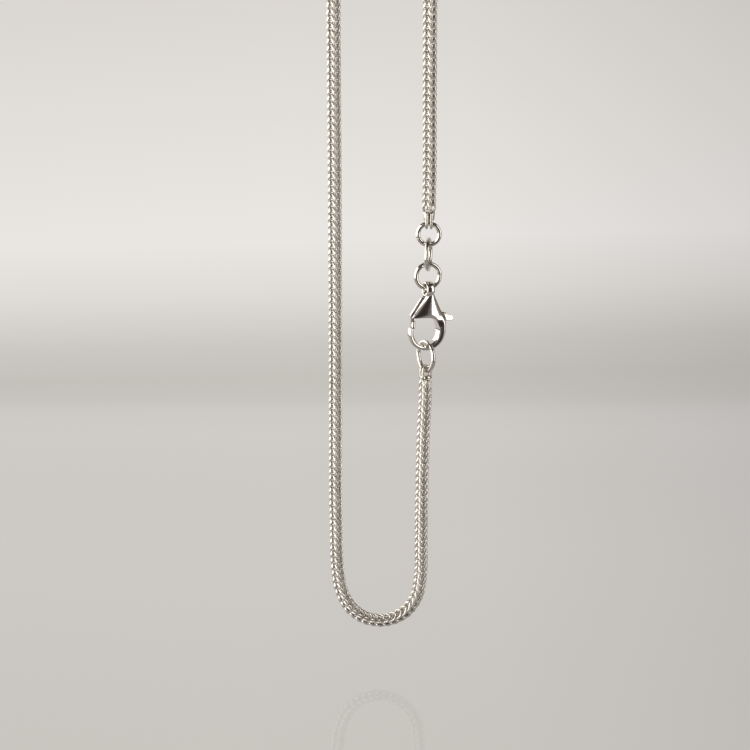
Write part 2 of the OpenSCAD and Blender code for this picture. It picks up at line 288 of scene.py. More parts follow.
@dataclass
class Surface:
    """Points in millimetres with their quads and triangles, and each point's share of painted shade in
    crevices or of a dark seam.
    """

    points: np.ndarray
    quads: np.ndarray
    tris: np.ndarray = field(default_factory=lambda: np.zeros((0, 3), int))
    crevice: np.ndarray | None = None

    @staticmethod
    def from_rings(rings: np.ndarray, loop: bool = False) -> "Surface":
        """Skins a row of closed rings. An open row is closed at both ends by a fan round the ring's mean.

        Args:
            rings: Rows by points by 3.
            loop: True if the last ring joins the first.

        Returns:
            The closed surface, facing outwards.
        """
        rows, cols, _ = rings.shape
        points = rings.reshape(-1, 3)
        tris = np.zeros((0, 3), int)
        if not loop:
            k = np.arange(cols)
            first, last = len(points), len(points) + 1
            points = np.vstack([points, rings[0].mean(0), rings[-1].mean(0)])
            end = (rows - 1) * cols
            near = np.stack([np.full(cols, first), (k + 1) % cols, k], axis=-1)
            far = np.stack([np.full(cols, last), end + k, end + (k + 1) % cols], axis=-1)
            tris = np.vstack([near, far])
        return Surface(points, grid_quads(rows, cols, loop), tris).outward()

    def outward(self) -> "Surface":
        """Turns every face round if the enclosed volume, the sum of signed tetrahedra, is negative.

        Returns:
            The surface itself.
        """
        faces = np.vstack([self.quads[:, [0, 1, 2]], self.quads[:, [0, 2, 3]], self.tris])
        a, b, c = (self.points[faces[:, i]] - self.points.mean(0) for i in range(3))
        if np.einsum("ij,ij->i", a, np.cross(b, c)).sum() < 0:
            self.quads = self.quads[:, ::-1]
            self.tris = self.tris[:, ::-1]
        return self

    def moved(self, turn_deg: float, place: Triple) -> "Surface":
        """Turns the surface about the vertical and then moves it.

        Args:
            turn_deg: Turn about Z in degrees.
            place: Shift in millimetres.

        Returns:
            The moved surface.
        """
        c, s = math.cos(math.radians(turn_deg)), math.sin(math.radians(turn_deg))
        points = self.points @ np.array([(c, s, 0), (-s, c, 0), (0, 0, 1)]) + np.array(place)
        return Surface(points, self.quads, self.tris, self.crevice)

    @staticmethod
    def joined(surfaces: list["Surface"]) -> "Surface":
        """Puts several surfaces in one, without welding them.

        Args:
            surfaces: The surfaces, in the order of their points.

        Returns:
            One surface with all their shells.
        """
        starts = np.cumsum([0] + [len(s.points) for s in surfaces[:-1]])
        crevices = [np.zeros(len(s.points)) if s.crevice is None else s.crevice for s in surfaces]
        return Surface(
            np.vstack([s.points for s in surfaces]),
            np.vstack([s.quads + n for s, n in zip(surfaces, starts)]),
            np.vstack([s.tris + n for s, n in zip(surfaces, starts)]),
            np.concatenate(crevices),
        )

    def make(self, name: str) -> bpy.types.Object:
        """Makes the mesh object, in metres, smooth-shaded.

        Args:
            name: The piece's name.

        Returns:
            The object, linked to the scene with its origin at the frame's.
        """
        mesh = bpy.data.meshes.new(name)
        mesh.vertices.add(len(self.points))
        mesh.vertices.foreach_set("co", (self.points * MM).astype(np.float32).ravel())
        corners = np.concatenate([self.quads.ravel(), self.tris.ravel()]).astype(np.int32)
        totals = np.concatenate([np.full(len(self.quads), 4), np.full(len(self.tris), 3)]).astype(np.int32)
        starts = np.concatenate([[0], np.cumsum(totals)[:-1]]).astype(np.int32)
        mesh.loops.add(len(corners))
        mesh.loops.foreach_set("vertex_index", corners)
        mesh.polygons.add(len(totals))
        mesh.polygons.foreach_set("loop_start", starts)
        mesh.polygons.foreach_set("loop_total", totals)
        mesh.update(calc_edges=True)
        mesh.validate()
        mesh.shade_smooth()
        # Each point's share of painted shade in crevices, or of a dark seam, goes into the mesh as an
        # attribute
        values = np.zeros(len(self.points)) if self.crevice is None else self.crevice
        mesh.attributes.new("crevice", "FLOAT", "POINT").data.foreach_set("value", values.astype(np.float32))
        thing = bpy.data.objects.new(name, mesh)
        bpy.context.scene.collection.objects.link(thing)
        return thing


def tube(path: np.ndarray, radius: np.ndarray | float, sides: int, loop: bool, core: np.ndarray) -> Surface:
    """Round wire along a path: each ring lies across the path's direction there, and its first
    point looks away from the core, so that the rings don't twist.

    Args:
        path: Points of the centre line, in millimetres.
        radius: Wire radius, one number or one for each point.
        sides: Points round the wire.
        loop: True if the path closes on itself.
        core: Point that the rings look away from.

    Returns:
        The wire's surface.
    """
    ahead, behind = np.roll(path, -1, 0), np.roll(path, 1, 0)
    if not loop:
        ahead[-1], behind[0] = path[-1], path[0]
    along = ahead - behind
    along /= np.linalg.norm(along, axis=1, keepdims=True)
    away = path - core
    away -= along * np.einsum("ij,ij->i", away, along)[:, None]
    away /= np.linalg.norm(away, axis=1, keepdims=True)
    across = np.cross(along, away)
    a = np.linspace(0, FULL_TURN, sides, endpoint=False)[:, None]
    r = np.broadcast_to(radius, len(path))[:, None, None]
    rings = path[:, None] + r * (away[:, None] * np.cos(a) + across[:, None] * np.sin(a))
    return Surface.from_rings(rings, loop)


def finish_piece(thing: bpy.types.Object, finish: MetalFinish, slot: Slot, body: Body, *nodes: str) -> None:
    """Dresses a piece, sets it on its body and lets it stand for its nodes.

    Args:
        thing: The piece's object.
        finish: Its finish.
        slot: Material slot of the record; not used.
        body: Body it rides on.
        *nodes: CAD nodes that it replaces.
    """
    thing.data.materials.append(finish.material())
    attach(thing, body.value)
    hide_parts(*nodes)
    LOG.info("%s: %d faces, stands for %s", thing.name, len(thing.data.polygons), ", ".join(nodes))


@dataclass
class Chain:
    """The foxtail chain. Each link is a closed wire ring, pinched at its waist and folded to a U.
    Its two ears stand up beside each other, and the next link's waist runs through both."""

    wire: float = 0.46
    pitch: float = 1.07
    half_side: float = 0.83
    swell: float = 1.1
    wire_sides: int = 6
    end_room: float = -0.1
    wander: float = 0.012
    # Half width of a link at its waist, leg, shoulder and ear, in wires
    half_widths: tuple[float, ...] = (0.62, 1.05, 1.32, 1.1)
    # How far waist and leg stand out before the chain is pressed, and the waist's dip
    waist_out: float = 0.06
    leg_out: float = 0.08
    waist_dip: float = 0.1
    # The leg's height in pitches, the shoulder's drop below the pitch, and its lean in wires
    leg_up: float = 0.45
    shoulder_drop: float = 0.18
    shoulder_lean: float = 0.4
    # The ear's distance from the middle, its height above the pitch and the link's reach, in wires
    ear_apart: float = 0.5
    ear_up: float = 0.9
    ear_reach: float = 1.5
    # Height of the point that the wire's rings look away from, in pitches
    core_up: float = 0.6
    # Steps of the curve from one point of the route to the next
    curve_steps: int = 40
    # Directions of the square's two front faces, in degrees from straight out of the loop
    outer_face: float = -45
    inner_face: float = 225
    # How fast the painted shade grows with a point's depth under the faces, and the share taken off so that
    # the outer wire stays unshaded
    dirt_gain: float = 1.6
    dirt_clean: float = 0.25

    def route(self) -> tuple[np.ndarray, np.ndarray]:
        """Samples the route: a Catmull-Rom curve through its points, mirrored once past each end.

        Returns:
            Distance along the chain, and rows of across, height and turn, lengths in millimetres.
        """
        rows = ROUTE / (MM, MM, 1.0)
        p = np.vstack([2 * rows[0] - rows[1], rows, 2 * rows[-1] - rows[-2]])
        t = np.linspace(0, 1, self.curve_steps, endpoint=False)[None, :, None]
        a, b, c, d = (p[i : len(p) - 3 + i][:, None] for i in range(4))
        square, cube = 2 * a - 5 * b + 4 * c - d, 3 * b - a - 3 * c + d
        curve = 0.5 * (2 * b + (c - a) * t + square * t**2 + cube * t**3)
        samples = np.vstack([curve.reshape(-1, 3), rows[-1]])
        steps = np.linalg.norm(np.diff(samples[:, :2], axis=0), axis=1)
        return np.concatenate([[0], np.cumsum(steps)]), samples

    def place(self, across_a: np.ndarray, across_b: np.ndarray, along: np.ndarray) -> np.ndarray:
        """Carries local places onto the hanging chain: a point moves from the route by a along the
        outer front face's direction and by b along the inner front face's.

        Args:
            across_a: Offset towards the outer front face, in millimetres.
            across_b: Offset towards the inner front face.
            along: Distance along the chain.

        Returns:
            Points of the frame in millimetres.
        """
        s, rows = self.route()
        x, z, turn = (np.interp(along, s, rows[:, i]) for i in range(3))
        headings = np.gradient(rows[:, :2], s, axis=0)
        hx, hz = (np.interp(along, s, headings[:, i]) for i in range(2))
        size = np.hypot(hx, hz)
        outward = np.stack([-hz / size, np.zeros_like(hx), hx / size], axis=-1)
        back = np.array([0.0, 1.0, 0.0])
        outer, inner = (np.radians(face - turn)[..., None] for face in (self.outer_face, self.inner_face))
        face_a = np.cos(outer) * outward + np.sin(outer) * back
        face_b = np.cos(inner) * outward + np.sin(inner) * back
        centre = np.stack([x, np.zeros_like(x), z], axis=-1)
        return centre + across_a[..., None] * face_a + across_b[..., None] * face_b

    def link_path(self) -> np.ndarray:
        """Centre line of one link in its own terms: a across the ears, b along them, c along the chain.
        From the waist a leg rises at the outer face and widens, leans in at the shoulder while it
        spreads on, and closes in an ear above the next link's waist. That quarter is mirrored twice.

        Returns:
            Sixteen points.
        """
        d, outer = self.wire, self.half_side - self.wire / 2
        waist, leg, shoulder, ear = (width * d for width in self.half_widths)
        quarter = np.array([
            (outer + self.waist_out, waist, -self.waist_dip),
            (outer + self.leg_out, leg, self.leg_up * self.pitch),
            (outer - self.shoulder_lean * d, shoulder, self.pitch - self.shoulder_drop),
            (self.ear_apart * d, ear, self.pitch + self.ear_up * d),
        ])
        right = np.vstack([quarter, quarter[::-1] * (1, -1, 1)])
        return np.vstack([right, right * (-1, -1, 1)])

    def build(self) -> None:
        """Builds every link as one array and joins them in one mesh, the ears pointing back along the
        route. Each link is swollen a little and then pressed flat to the square's faces, as a
        foxtail's are when it is drawn down."""
        s, _ = self.route()
        core = np.array([0, 0, self.pitch * self.core_up])
        template = tube(self.link_path(), self.wire / 2, self.wire_sides, True, core)
        reach = self.pitch + self.ear_reach * self.wire
        span = s[-1] - 2 * self.end_room - reach - self.wire / 2
        count = int(round(span / self.pitch)) + 1
        starts = s[-1] - (self.end_room + self.wire / 2 + np.linspace(0, span, count))
        rng = np.random.default_rng(SEED)
        jitter = rng.normal(0, self.wander, (count, 3))
        a, b, c = (template.points[None, :, i] + jitter[:, None, i] for i in range(3))
        a, b = (np.clip(side * self.swell, -self.half_side, self.half_side) for side in (a, b))
        points = self.place(a, b, starts[:, None] - c)
        quads = template.quads[None] + (np.arange(count) * len(template.points))[:, None, None]
        # Painted shade: points deep under the square's faces, between the links, take the shade colour
        depth = 1 - np.clip(np.maximum(np.abs(a), np.abs(b)) / self.half_side, 0, 1)
        crevice = np.clip(depth * self.dirt_gain - self.dirt_clean, 0, 1)
        links = Surface(points.reshape(-1, 3), quads.reshape(-1, 4)[:, ::-1], crevice=crevice.ravel())
        chain = links.make("foxtail_links")
        finish_piece(chain, CHAIN_WIRE, Slot.CHAIN, Body.NECKLACE, "foxtail_chain")


@dataclass
class LinkRing:
    """A round wire ring, bent shut, with a fine seam where its ends meet. Turn and seam in degrees."""

    node: str
    outer: float
    centre: Triple
    turn: float
    seam: float
    wire: float = 0.7
    seam_width: float = 0.05
    seam_depth: float = 0.12
    seam_dirt: float = 0.8
    steps: int = 360
    sides: int = 28

    def build(self) -> None:
        """Builds a torus whose wire thins in a narrow bell-shaped dip at the seam."""
        a = np.linspace(0, FULL_TURN, self.steps, endpoint=False)
        mid = (self.outer - self.wire) / 2
        path = np.stack([mid * np.cos(a), np.zeros_like(a), mid * np.sin(a)], axis=-1)
        off = (a - math.radians(self.seam) + math.pi) % FULL_TURN - math.pi
        dip = np.exp(-((off * mid / self.seam_width) ** 2))
        ring = tube(path, self.wire / 2 * (1 - self.seam_depth * dip), self.sides, True, np.zeros(3))
        ring.crevice = np.repeat(dip, self.sides) * self.seam_dirt
        thing = ring.moved(self.turn, self.centre).make(self.node + "_wire")
        finish_piece(thing, BRIGHT_RING, Slot.RING, Body.NECKLACE, self.node)


@dataclass
class ChainEnd:
    """Last links of the chain: two wire arches side by side, soldered to it."""

    node: str
    centre: Triple
    turn: float
    leg: float
    solder: float
    hangs: bool = False
    wire: float = 0.42
    clear: float = 0.48
    spread: float = 0.36
    leg_steps: int = 4
    bend_points: int = 17
    wire_sides: int = 14
    solder_r: float = 0.9
    solder_top_r: float = 0.84
    solder_sides: int = 40
    # Share of the solder's height, and of its radius there
    profile: tuple[Pair, ...] = (
        (0, 0.93), (0.04, 1), (0.3, 1), (0.6, 1), (0.85, 0.98), (0.96, 0.92), (1, 0.8),
    )
    # Waves on the solder: share of the radius, number round it, and turn with the height
    ripples: tuple[Triple, ...] = ((0.03, 3, 4), (0.02, 7, -3))
    # The point that the wire's rings look away from stands this far out of the arch's plane
    core_aside: float = 0.001

    def arch(self, side: int) -> Surface:
        """One arch: straight leg, half circle and straight leg, as a round wire.

        Args:
            side: -1 for the left arch, 1 for the right one.

        Returns:
            The arch's wire, closed at its feet.
        """
        x, mid = side * self.spread, self.clear + self.wire / 2
        a = np.linspace(0, math.pi, self.bend_points)
        bend = np.stack([np.full_like(a, x), mid * np.cos(a), mid * np.sin(a)], axis=-1)
        rise = np.linspace(-self.leg, 0, self.leg_steps, endpoint=False)
        up = np.stack([np.full_like(rise, x), np.full_like(rise, mid), rise], axis=-1)
        path = np.vstack([up, bend, (up * (1, -1, 1))[::-1]])
        core = np.array([x + self.core_aside, 0, -self.leg / 2])
        return tube(path, self.wire / 2, self.wire_sides, False, core)

    def solder_skin(self) -> Surface:
        """Collar of solder: a cone with rounded edges, its radius rippled by two slow waves.

        Returns:
            The closed collar.
        """
        h, share = np.array(self.profile).T[..., None]
        r = (self.solder_r + (self.solder_top_r - self.solder_r) * h) * share
        a = np.linspace(0, FULL_TURN, self.solder_sides, endpoint=False)
        ripple = sum((depth * np.sin(waves * a + turn * h) for depth, waves, turn in self.ripples), 1)
        radius = r * np.minimum(ripple, 1.0)
        z = -self.leg + self.solder * np.broadcast_to(h, radius.shape)
        return Surface.from_rings(np.stack([radius * np.cos(a), radius * np.sin(a), z], axis=-1))

    def build(self) -> None:
        """Builds the arches and the solder, upside down where the end hangs from above."""
        parts = Surface.joined([self.arch(-1), self.arch(1), self.solder_skin()])
        if self.hangs:
            parts.points = parts.points * (1, -1, -1)
        thing = parts.moved(self.turn, self.centre).make(self.node + "_eyes")
        finish_piece(thing, SOLDER, Slot.SOLDER, Body.NECKLACE, self.node)


@dataclass
class Clasp:
    """Lobster clasp: a domed drop-shaped body that runs round into the hook, an end loop above it,
    and the sprung trigger. Its own plane has its origin at the hook's centre, u across and w up.
    Angles go round that centre in degrees: 0 at the right, 90 at the neck, below 0 on the hook."""

    centre: Triple = (7.3, 0.0, -167.9)
    turn: float = 24
    # Outline: the neck's height, the straight sides up to it and down from it, and the level arch
    neck_z: float = 6.2
    left_side: tuple[Pair, Pair] = ((-2.85, 2.55), (-0.15, 6.2))
    right_side: tuple[Pair, Pair] = ((0.95, 6.2), (2.95, 1.85))
    shoulder_fade: float = 50
    arch_z: float = 2.42
    arch_from: float = 30
    arch_fade: float = 100
    level_span: Pair = (30, 150)
    # Opening: its circle's centre and radius
    eye: Pair = (-0.3, 0.08)
    eye_r: float = 2.17
    # Hook: its middle line, its width, the angles it runs through, and its growth to the tip
    hook_r: float = 2.53
    hook_wire: float = 0.92
    hook_from: float = 20
    tip_deg: float = -198
    tip_out: float = 0.2
    tip_out_from: float = -90
    tip_out_fade: float = 80
    # Section of the hook: place of its crown, height of its inner wall at both ends, and its dome
    crown_at: float = 0.6
    wall_share: Pair = (0.8, 0.55)
    wall_fade: float = 80
    fullness: float = 2.1
    # Depth of the body and how it falls towards tip, neck, arch and top
    depth: float = 2.0
    tip_depth: float = 1.1
    tip_power: float = 0.8
    neck_taper: float = 0.06
    taper_from: float = 3.0
    taper_power: float = 1.5
    arch_roll: float = 0.7
    arch_drop: float = 0.12
    top_round: float = 0.15
    top_least: float = 0.55
    body_fade: float = 35
    # Degrees between sections on the body and on the hook, and points round each
    body_step: float = 1
    hook_step: float = 2
    section_points: int = 72
    # Slot for the trigger, bores for the pin, and the hollow end of the hook's tip
    slot_w: float = 0.7
    slot: tuple[Pair, ...] = (
        (-4, 1.7), (-0.8, 1.7), (-0.8, 2.7), (0.9, 2.7), (1.7, 1.7), (4, 1.7), (4, 5), (-0.2, 5),
        (-0.2, 5.8), (-4, 5.8),
    )
    pivot: Pair = (-1.3, 3.2)
    body_bore_r: float = 0.27
    body_bore_len: float = 1.4
    trigger_bore_r: float = 0.3
    disc_points: int = 64
    seat_r: float = 2.909
    seat_right: float = -1.5
    seat_top: float = 1.8
    seat_points: int = 160
    # End loop
    loop_x: float = 0.15
    loop_z: float = 6.75
    loop_mid: float = 1.0
    loop_wall: float = 0.6
    loop_w: float = 1.3
    loop_grid: tuple[int, int] = (96, 32)
    # Trigger: bars of its hidden plate, each with two centres, radius and rim. They are the spine, the
    # gate, a stub over the pivot, the arm to the tab and the tab's root; then come the hub and the pad
    plate_bars: tuple[tuple[Pair, Pair, float, float], ...] = (
        ((-0.74, 5.2), (-2.5, 2.81), 0.4, 0.12), ((-2.5, 2.81), (-2.4, 1.0), 0.33, 0.12),
        ((-1.3, 3.2), (-1.6, 3.9), 0.45, 0.06), ((-1.3, 3.2), (1.7, 3.05), 0.3, 0.06),
        ((2.05, 2.8), (2.95, 2.45), 0.5, 0.1),
    )
    plate_thick: float = 0.5
    hub_r: float = 0.5
    hub_rim: float = 0.06
    pad_bar: tuple[Pair, Pair, float, float] = ((-2.37, 1.65), (-2.4, 1.0), 0.33, 0.3)
    pad_thick: float = 1.0
    end_points: int = 15
    rim_steps: int = 6
    # Thumb tab: tip and the angles of its round, inner corners, and the share of thickness lost at the
    # tip. The points go round the tip, along the top, down inside and along the foot
    tab_tip: Pair = (4.05, 1.9)
    tab_r: float = 0.4
    tab_round: Pair = (-90, 72)
    tab_top: Pair = (2.62, 2.8)
    tab_foot: Pair = (3.12, 1.5)
    tab_thick: float = 1.0
    tab_rim: float = 0.12
    tab_thinning: float = 0.5
    tab_points: tuple[int, ...] = (14, 12, 8, 12)

    def ease(self, t: np.ndarray) -> np.ndarray:
        """Smooth step: 3t^2 - 2t^3, held at 0 and 1."""
        t = np.clip(t, 0, 1)
        return t * t * (3 - 2 * t)

    def skin(self) -> Surface:
        """The body and hook in polar sections round the hook's centre. At each angle the section
        runs from the inner to the outer outline. Its half depth is the body's dome above the arch
        and the hook's own section below, blended over the shoulder.

        Returns:
            The closed surface in the clasp's plane.
        """
        over_body = np.arange(bearing(self.left_side[0]), self.hook_from, -self.body_step)
        over_hook = np.arange(self.hook_from, self.tip_deg, -self.hook_step)
        deg = np.concatenate([over_body, over_hook, [self.tip_deg]])
        inner, outer = self.inner(deg)[:, None], self.outer(deg)[:, None]
        a = np.linspace(0, FULL_TURN, self.section_points, endpoint=False)
        s = (1 - np.cos(a)) / 2
        r = inner + (outer - inner) * s
        u, w = r * np.cos(np.radians(deg))[:, None], r * np.sin(np.radians(deg))[:, None]
        share = self.ease((deg - self.hook_from) / self.body_fade)[:, None]
        half = share * self.dome(u, w, r - inner) + (1 - share) * self.hook_section(s, deg)
        # The rounded sine is 0 at the section's two ends, which so lie in the clasp's middle plane
        return Surface.from_rings(np.stack([u, -half * np.sign(np.round(np.sin(a), 9)), w], axis=-1))

    def dome(self, u: np.ndarray, w: np.ndarray, from_arch: np.ndarray) -> np.ndarray:
        """Half depth of the body: a superellipse between its side lines at each height, tapered to the
        neck, drawn in a little along the arch and rounded at the neck's top.

        Args:
            u: Places across the clasp's plane.
            w: Places up it.
            from_arch: Distances from the inner outline.

        Returns:
            Half depths.
        """
        left, right = (
            p[0] + (q[0] - p[0]) * (w - p[1]) / (q[1] - p[1]) for p, q in (self.left_side, self.right_side)
        )
        off = np.clip(np.abs(2 * u - left - right) / (right - left), 0, 1)
        up = np.clip((w - self.taper_from) / (self.neck_z - self.taper_from), 0, 1)
        taper = 1 - self.neck_taper * up**self.taper_power
        arch = 1 - self.arch_drop * (1 - np.clip(from_arch / self.arch_roll, 0, 1)) ** 2
        below_top = np.clip((self.neck_z - w) / self.top_round, 0, 1)
        top = self.top_least + (1 - self.top_least) * np.sqrt(1 - (1 - below_top) ** 2)
        return self.depth / 2 * taper * arch * top * (1 - off**self.fullness) ** (1 / self.fullness)

    def hook_section(self, s: np.ndarray, deg: np.ndarray) -> np.ndarray:
        """Half depth of the hook: it starts with the inner wall, rises as a parabola to the crown and
        falls as a superellipse to the outer edge. All of it fades with a power of the way to the tip.

        Args:
            s: Share of the way from the inner to the outer outline.
            deg: Angles.

        Returns:
            Half depths, a row for each angle.
        """
        first, last = self.wall_share
        wall = (first + (last - first) * self.ease((self.hook_from - deg) / self.wall_fade))[:, None]
        rise = 1 - (1 - wall) * np.clip(1 - s / self.crown_at, 0, 1) ** 2
        out = np.clip((s - self.crown_at) / (1 - self.crown_at), 0, 1)
        fall = (1 - out**self.fullness) ** (1 / self.fullness)
        along = np.clip(self.hook_from - deg, 0, None) / (self.hook_from - self.tip_deg)
        crown = self.depth / 2 - (self.depth - self.tip_depth) / 2 * along**self.tip_power
        return crown[:, None] * np.where(s < self.crown_at, rise, fall)

    def line(self, p: Pair, q: Pair, deg: np.ndarray) -> np.ndarray:
        """Distance from the hook's centre, at each angle, to the line through two points: the line's
        own distance over the cosine of the angle to its normal.

        Args:
            p: One point.
            q: The other.
            deg: Angles.

        Returns:
            Distances.
        """
        n = (p[1] - q[1], q[0] - p[0])
        rad = np.radians(deg)
        return (n[0] * p[0] + n[1] * p[1]) / (n[0] * np.cos(rad) + n[1] * np.sin(rad))

    def level(self, height: float, deg: np.ndarray) -> np.ndarray:
        """Distance to the level line at a height: the height over the sine of the angle, held to its span."""
        return height / np.sin(np.radians(np.clip(deg, *self.level_span)))

    def outer(self, deg: np.ndarray) -> np.ndarray:
        """Outer outline: left shoulder line, level neck, right shoulder line, then a blend to the
        hook's circle, which grows a little towards its tip.

        Args:
            deg: Angles.

        Returns:
            Distances from the hook's centre.
        """
        left, right, low = (bearing(point) for point in (self.left_side[1], *self.right_side))
        hook = self.hook_r + self.hook_wire / 2
        fade = np.clip(1 - (low - deg) / self.shoulder_fade, 0, 1) ** 2
        blend = hook + (math.hypot(*self.right_side[1]) - hook) * fade
        blend += self.tip_out * self.ease((self.tip_out_from - deg) / self.tip_out_fade)
        lines = [
            self.line(*self.left_side, deg), self.level(self.neck_z, deg), self.line(*self.right_side, deg),
        ]
        return np.select([deg > left, deg > right, deg > low], lines, blend)

    def inner(self, deg: np.ndarray) -> np.ndarray:
        """Inner outline: a circle a little to the left of the hook's centre, and the level arch above it.

        Args:
            deg: Angles.

        Returns:
            Distances from the hook's centre.
        """
        x, z = np.cos(np.radians(deg)), np.sin(np.radians(deg))
        ring = self.eye[0] * x + self.eye[1] * z
        ring = ring + np.sqrt(self.eye_r**2 - (self.eye[0] * z - self.eye[1] * x) ** 2)
        share = self.ease((deg - self.arch_from) / self.arch_fade)
        return ring + (self.level(self.arch_z, deg) - ring) * share

    def end_loop(self) -> Surface:
        """End loop: a band of elliptical section, carried round the loop's axis.

        Returns:
            The closed band in the clasp's plane.
        """
        a, b = (np.linspace(0, FULL_TURN, n, endpoint=False) for n in self.loop_grid)
        across = np.broadcast_to(self.loop_x + self.loop_w / 2 * np.sin(b), self.loop_grid)
        r = self.loop_mid + self.loop_wall / 2 * np.cos(b)
        depth, height = r * np.cos(a)[:, None], self.loop_z + r * np.sin(a)[:, None]
        return Surface.from_rings(np.stack([across, depth, height], axis=-1), loop=True)

    def slab(self, outline: np.ndarray, rim: float, thick: float) -> Surface:
        """Flat piece with rounded rims: the outline is drawn in by the rim's quarter circle towards
        each face.

        Args:
            outline: Points in the clasp's plane, going round once.
            rim: Radius of the rim.
            thick: Thickness across the plane.

        Returns:
            The closed slab.
        """
        along = np.roll(outline, -1, 0) - np.roll(outline, 1, 0)
        along /= np.linalg.norm(along, axis=1, keepdims=True)
        out = np.stack([along[:, 1], -along[:, 0]], axis=-1) * math.copysign(1, signed_area(outline))
        q = np.linspace(0, math.pi / 2, self.rim_steps)
        sine, cosine = rim * (1 - np.sin(q)), rim * (1 - np.cos(q))
        inset = np.concatenate([sine, cosine])[:, None, None]
        depth = np.concatenate([-thick / 2 + cosine, thick / 2 - sine])
        flat = outline[None] - out[None] * inset
        y = np.broadcast_to(depth[:, None], flat.shape[:2])
        return Surface.from_rings(np.stack([flat[..., 0], y, flat[..., 1]], axis=-1))

    def bar(self, a: Pair, b: Pair, r: float, rim: float, thick: float) -> Surface:
        """Round-ended slab between two points of the clasp's plane: two half circles, joined.

        Args:
            a: Centre of one end.
            b: Centre of the other.
            r: Radius of the ends.
            rim: Radius of the rim.
            thick: Thickness across the plane.

        Returns:
            The closed bar.
        """
        turn = math.atan2(b[1] - a[1], b[0] - a[0])
        far = np.linspace(-math.pi / 2, math.pi / 2, self.end_points) + turn
        return self.slab(np.vstack([arc(b, r, far), arc(a, r, far + math.pi)]), rim, thick)

    def disc(self, r: float) -> np.ndarray:
        """Circle outline round the pivot."""
        return arc(self.pivot, r, np.linspace(0, FULL_TURN, self.disc_points, endpoint=False))

    def prism(self, outline: np.ndarray, thick: float) -> Surface:
        """Straight-sided cutter over an outline in the clasp's plane, its faces cut into triangles that
        go round as the outline does.

        Args:
            outline: Points in the clasp's plane, going round once.
            thick: Thickness across the plane.

        Returns:
            The closed cutter.
        """
        n = len(outline)
        sides = [np.insert(outline, 1, y, axis=1) for y in (-thick / 2, thick / 2)]
        tris = np.array(tessellate_polygon([[Vector((x, z, 0)) for x, z in outline]]))
        k = np.arange(n)
        walls = np.stack([k, (k + 1) % n, (k + 1) % n + n, k + n], axis=-1)
        first, second, third = (outline[tris[:, i]] for i in range(3))
        turned = np.cross(second - first, third - first) < 0
        tris[turned] = tris[turned][:, ::-1]
        if signed_area(outline) < 0:
            tris = tris[:, ::-1]
        return Surface(np.vstack(sides), walls, np.vstack([tris[:, ::-1], tris + n])).outward()

    def cut(self, thing: bpy.types.Object, cutter: Surface, crossing: bool = False) -> None:
        """Takes a closed surface's inside away from a piece and applies the cut. The piece is then shaded
        smooth between its sharp edges.

        Args:
            thing: Piece that is cut.
            cutter: Cutting surface in the clasp's plane.
            crossing: True if the piece's own shells run through each other, which then become one.
        """
        tool = cutter.moved(self.turn, self.centre).make("cutter")
        modifier = thing.modifiers.new("cut", "BOOLEAN")
        modifier.operation = "DIFFERENCE"
        modifier.solver = "EXACT"
        modifier.use_self = crossing
        modifier.object = tool
        bpy.context.view_layer.update()
        graph = bpy.context.evaluated_depsgraph_get()
        done = bpy.data.meshes.new_from_object(thing.evaluated_get(graph))
        done.shade_smooth()
        done.set_sharp_from_angle(angle=math.radians(SHARP_DEG))
        thing.modifiers.clear()
        old, thing.data = thing.data, done
        bpy.data.meshes.remove(old)
        bpy.data.objects.remove(tool)

    def tip_seat(self) -> Surface:
        """Cutter for the hollow end of the hook's tip: the part of a disc struck from the pivot that
        lies left of the hook's opening, between the hook's middle height and the top of the hollow.
        Its outline is the disc's arc there, closed by level and upright lines.

        Returns:
            The cutter, deeper than the clasp.
        """
        right, top = self.seat_right, self.seat_top
        edge = arc(self.pivot, self.seat_r, np.linspace(math.pi, FULL_TURN, self.seat_points))
        edge = edge[(edge[:, 0] < right) & (edge[:, 1] < top) & (edge[:, 1] > 0)]
        closing = [(right, edge[-1, 1]), (right, top), (edge[0, 0], top)]
        return self.prism(np.vstack([edge, closing]), 2 * self.depth)

    def thumb_tab(self) -> Surface:
        """Thumb tab: flat below, sloping above, with a round tip, thinner towards it.

        Returns:
            The closed tab in the clasp's plane.
        """
        at_tip, on_top, at_inside, on_foot = self.tab_points
        tip = arc(self.tab_tip, self.tab_r, np.radians(np.linspace(*self.tab_round, at_tip)))
        top = np.linspace(tip[-1], self.tab_top, on_top)[1:]
        inside = np.linspace(self.tab_top, self.tab_foot, at_inside)[1:]
        foot = np.linspace(self.tab_foot, tip[0], on_foot)[1:-1]
        tab = self.slab(np.vstack([tip, top, inside, foot]), self.tab_rim, self.tab_thick)
        start, end = self.tab_top[0], self.tab_tip[0] + self.tab_r
        tab.points[:, 1] *= 1 - self.tab_thinning * (tab.points[:, 0] - start) / (end - start)
        return tab

    def build_body(self) -> None:
        """Builds the body, cuts the trigger's slot, pin bore and tip seat, and adds the end loop."""
        body = self.skin().moved(self.turn, self.centre).make("clasp_shell")
        self.cut(body, self.prism(np.array(self.slot, float), self.slot_w))
        self.cut(body, self.prism(self.disc(self.body_bore_r), self.body_bore_len))
        self.cut(body, self.tip_seat())
        loop = self.end_loop().moved(self.turn, self.centre).make("clasp_end_loop")
        for piece in (body, loop):
            finish_piece(piece, BRIGHT_CAST, Slot.CLASP, Body.NECKLACE, "clasp_body")

    def build_trigger(self) -> None:
        """Builds the trigger: hidden plate, gate with its pad, and thumb tab, bored for the pin."""
        shells = [
            *(self.bar(*plate_bar, self.plate_thick) for plate_bar in self.plate_bars),
            self.slab(self.disc(self.hub_r), self.hub_rim, self.plate_thick),
            self.bar(*self.pad_bar, self.pad_thick),
            self.thumb_tab(),
        ]
        lever = Surface.joined(shells).moved(self.turn, self.centre).make("clasp_lever")
        self.cut(lever, self.prism(self.disc(self.trigger_bore_r), self.depth), crossing=True)
        finish_piece(lever, BRIGHT_CAST, Slot.CLASP, Body.TRIGGER, "clasp_trigger")

